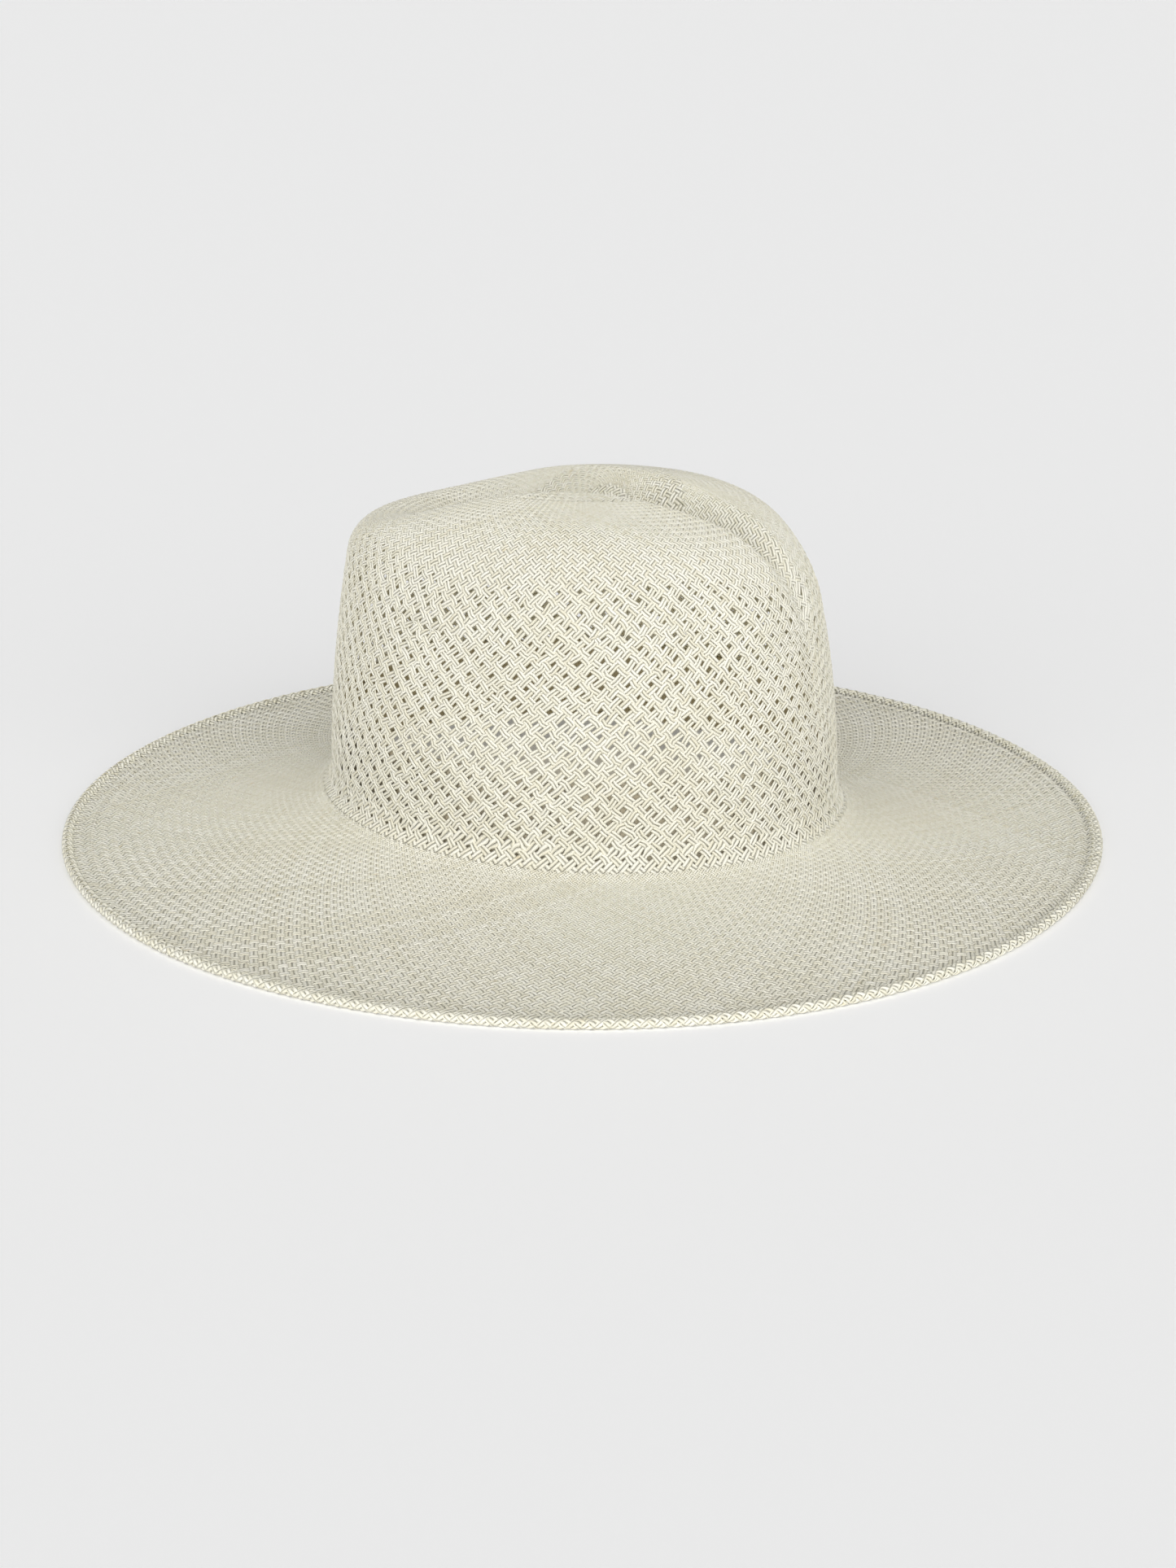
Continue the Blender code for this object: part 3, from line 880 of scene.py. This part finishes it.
def stitchSides(line, up, length, gap, radius, draw):
    # short thick stitches along a line, which dive into the cloth at both ends
    run = np.concatenate([[0], np.cumsum(np.linalg.norm(np.diff(line, axis=0), axis=1))])
    count = max(1, int(run[-1] / (length + gap)))
    pitch = run[-1] / count
    u = np.linspace(-1, 1, 7)
    middle = (np.arange(count)[:, None] + 0.5) * pitch
    at = middle + u * length / 2 * draw.uniform(0.92, 1.06, (count, 1))
    path = stack(*(np.interp(at, run, line[:, i]) for i in range(3)))
    rise = unit(stack(*(np.interp(at, run, up[:, i]) for i in range(3))))
    across = unit(np.cross(rise, np.gradient(path, axis=1)))
    path = path + rise * (radius * (0.9 - 1.4 * u**4))[None, :, None]
    path = path + across * draw.normal(0, 0.25 * radius, (count, 1, 1))
    thick = (radius * (1 - 0.4 * u**6))[None, :, None, None]
    turn = (2 * pi * np.arange(6) / 6)[None, None, :, None]
    spoke = rise[:, :, None] * np.cos(turn) + across[:, :, None] * np.sin(turn)
    return (path[:, :, None] + thick * spoke)[:, None]


def addSewn(name, sides, material, slot, *nodes, joined=False):
    tones = np.random.default_rng(len(name)).uniform(0, 1, sides.shape[:2])
    mesh = strawMesh(name, sides, np.zeros(len(sides), int), tones, joined)
    return addPiece(name, mesh, material, slot, *nodes)


def makeSweatband():
    cloth = clothMaterial("bandGrosgrain")
    slit = band["slit"] / halfWidth
    low, middle = band["lift"], band["lift"] + band["height"] / 2
    angles, along = anglesEvenly(pi + slit, 3 * pi - slit, band["rib"] / 4, middle)
    heights = low + band["height"] * np.array(band["across"])
    ribs = (1 - np.cos(2 * pi * along / band["rib"])) / 2
    press = band["ribDepth"] * ribs[:, None] * np.array(band["ribbed"])
    sides = ribbonSides(angles, heights, bandOuter, bandInner, press)
    sweatband = addSewn("sweatbandRibbon", sides, cloth, "band_fabric", "sweatband")
    # the piping, a cord in a fold of the same ribbon
    angles, along = anglesEvenly(pi, 3 * pi, band["rib"] / 3, low)
    turn = 2 * pi * np.arange(12) / 12
    ribs = 1 - np.cos(2 * pi * along / band["rib"])
    radius = band["reed"] * (1 - band["reedRib"] * ribs / 2)[:, None]
    z = low - band["reed"] - band["gap"] + radius * np.cos(turn)
    depth = bandOuter + band["thick"] / 2 + radius * np.sin(turn)
    sides = bandPoint(angles[:, None], z, depth)[None, None]
    piping = addSewn("pipingCord", sides, cloth, "band_fabric", "sweatband_reed", joined=True)
    return sweatband, piping


def makeTape():
    cloth = clothMaterial("tapeGrosgrain")
    half = band["tapeWidth"] / 2 / halfWidth
    low, high = (band["lift"] + z for z in band["tapeAt"])
    heights = np.linspace(low, high, int(round((high - low) / band["tapeRib"])) * 4 + 1)
    ribs = (1 - np.cos(2 * pi * (heights - low) / band["tapeRib"])) / 2
    angles = pi + half * np.array(band["tapeAcross"])
    press = band["tapeRibDepth"] * ribs * np.array(band["tapeRibbed"])[:, None]
    sides = ribbonSides(angles, heights, onBand, onBand + band["tapeThick"], press)
    return addSewn("joinTape", sides, cloth, "ribbon_fabric", "seam_tape")


def makeLabel():
    cloth = clothMaterial("labelWeave")
    low, high = (band["lift"] + z for z in band["labelAt"])
    columns, rows = band["labelCells"]
    first, last = (pi + band[side] / halfWidth for side in ("labelFrom", "labelTo"))
    angles, heights = np.linspace(first, last, columns), np.linspace(low, high, rows)
    checks = (np.arange(columns)[:, None] + np.arange(rows)) % 2
    folds = ease((np.abs(np.linspace(-1, 1, columns)) - 0.84) / 0.04)[:, None]
    press = band["labelWeave"] * checks + band["labelFold"] * (1 - folds)
    sides = ribbonSides(angles, heights, onBand, onBand + band["labelThick"], press)
    return addSewn("blankLabel", sides, cloth, "label_fabric", "size_label")


# length of a stitch, gap to the next one, and radius of the thread
stitches = {
    "band": (0.0030, 0.0011, 0.0003),
    "tape": (0.0017, 0.0008, 0.0002),
    "label": (0.0014, 0.0006, 0.00015),
    "underHem": (0.0032, 0.0010, 0.0003),
    "onHem": (0.0015, 0.0027, 0.0002),
}
sunk = {"band": 0.00012, "ribbon": 0.00005, "brim": 0.00008}  # how deep the thread pulls in
sewnIn = {"band": 0.004, "label": 0.0010, "labelEnd": 0.0004, "hem": 0.0006}  # from the edges


def makeStitches():
    draw = np.random.default_rng(3)
    thread = clothMaterial("cottonThread")

    def onSlope(angles, heights, depth):
        nx, ny = outward(angles)
        return bandPoint(angles, heights, depth), stack(-nx, -ny, 0 * nx)

    around = np.linspace(pi + sewnIn["band"], 3 * pi - sewnIn["band"], 1500)
    height = band["lift"] + band["stitchLine"] + 0 * around
    row = onSlope(around, height, bandInner - sunk["band"])
    sewn = [stitchSides(*row, *stitches["band"], draw)]
    half = band["tapeWidth"] / 2 / halfWidth
    heights = np.linspace(*(band["lift"] + z for z in band["tapeAt"]), 60)
    depth = onBand + band["tapeThick"] - sunk["ribbon"]
    for side in (band["tapeAcross"][3], band["tapeAcross"][-4]):
        row = onSlope(pi + side * half + 0 * heights, heights, depth)
        sewn.append(stitchSides(*row, *stitches["tape"], draw))
    low, high = (band["lift"] + z for z in band["labelAt"])
    heights = np.linspace(low + sewnIn["labelEnd"], high - sewnIn["labelEnd"], 30)
    depth = onBand + band["labelThick"] - sunk["ribbon"]
    for across in (band["labelFrom"] + sewnIn["label"], band["labelTo"] - sewnIn["label"]):
        row = onSlope(pi + across / halfWidth + 0 * heights, heights, depth)
        sewn.append(stitchSides(*row, *stitches["label"], draw))
    bandRows = addSewn("bandStitches", np.concatenate(sewn), thread, "sewing_thread",
                       "sweatband_stitching")
    # the hem's stitches: long ones underneath and short ones on top
    around = np.linspace(0, 2 * pi, 3000)
    reach = brimReach(around) - hat["hemWidth"] - sewnIn["hem"]
    under = beyondCrown(around, reach, hat["rimTop"] - hat["straw"] - sunk["ribbon"])
    over = brimPoint(around, reach) - [0, 0, sunk["brim"]]
    down, upward = np.zeros_like(under), np.zeros_like(under)
    down[:, 2], upward[:, 2] = -1, 1
    sewn = [
        stitchSides(under, down, *stitches["underHem"], draw),
        stitchSides(over, upward, *stitches["onHem"], draw),
    ]
    addSewn("hemStitches", np.concatenate(sewn), thread, "sewing_thread", "hem_stitching")
    return bandRows


bow = {
    "halfWidth": 0.0115,
    "halfHeight": 0.0018,
    "narrowest": 0.62,  # height of a loop at the knot, as a share
    "narrowOver": 0.005,
    "wavy": 0.00008,
    "thick": 0.00042,
    "knot": 0.0011,
    "bulge": 0.0026,
    "knotDeep": 0.0017,
    "knotHigh": 0.0021,
    "knotHalfWidth": 0.0013,
}


def makeBow():
    # two loops of narrow ribbon either side of a wrapped knot
    cloth = clothMaterial("bowSatin")
    middle = bandPoint(np.array(pi), band["lift"] + band["bowAt"], onBand + band["tapeThick"])
    middle = middle - [0, bow["knot"] + bow["bulge"], 0]
    heights = np.linspace(-1, 1, 9)
    loops = []
    for side in (-1, 1):
        t = np.linspace(-pi / 2, pi / 2, 49)
        blunt = np.minimum(1, 3 * np.abs(np.sin(t)))
        depth = (bow["knot"] + bow["bulge"] * np.cos(t) ** 1.5) * blunt - bow["thick"] / 2
        x = side * (bow["halfWidth"] - bow["thick"] / 2) * np.cos(t)
        line = stack(x, np.sign(np.sin(t)) * np.maximum(depth, 0), 0 * x)
        line[-1] = line[0]
        out = unit(np.cross(np.gradient(line, axis=0), [0, 0, side]))
        least = bow["narrowest"]
        tall = bow["halfHeight"] * (least + (1 - least) * ease(np.abs(x) / bow["narrowOver"]))
        wavy = bow["wavy"] * np.sin(9 * np.abs(x) / bow["halfWidth"])[:, None] * heights
        faces = []
        for face, order in ((side, heights), (-side, heights[::-1])):
            edge = np.where(np.abs(order) > 0.99, 0.5, 1.0)
            push = face * bow["thick"] / 2 * edge + (wavy if order is heights else wavy[:, ::-1])
            upright = stack(0, 0, tall[:, None] * order)
            faces.append(line[:, None] + out[:, None] * push[..., None] + upright)
        loops.append(np.concatenate(faces, 1) + middle)
    loops = np.stack(loops)[:, None]
    loops[:, :, -1] = loops[:, :, 0]
    bowLoops = addSewn("bowLoops", loops, cloth, "ribbon_fabric", "sweatband_bow", joined=True)
    # the knot is a short ribbon wrapped round the middle
    turn = np.linspace(0, 2 * pi, 41)
    across = np.linspace(-1, 1, 7)
    faces = []
    for face, order in ((0.0, across), (-bow["thick"], across[::-1])):
        edge = 0.4 * bow["thick"] * (np.abs(order) > 0.99) * (-1 if face == 0 else 1)
        y = (bow["knotDeep"] + face + edge) * np.cos(turn)[:, None]
        z = (bow["knotHigh"] + face + edge) * np.sin(turn)[:, None]
        faces.append(stack(bow["knotHalfWidth"] * order + 0 * y, y, z))
    knot = np.concatenate(faces, 1) + middle
    knot[-1] = knot[0]
    addSewn("bowKnot", knot[None, None], cloth, "ribbon_fabric", joined=True)
    return bowLoops


def makeInside():
    sweatband, piping = makeSweatband()
    tape, label, sewing = makeTape(), makeLabel(), makeStitches()
    loops = makeBow()
    girth = anglesEvenly(pi, 3 * pi, band["rib"], band["lift"] + band["height"] / 2)[1][-1]
    wire = steelMaterial()
    for node in ("rim_wire", "wire_joiner"):
        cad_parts[node].data.materials[0] = wire
    print("inside sewn")


makeCrown()
makeBrim()
makeInside()
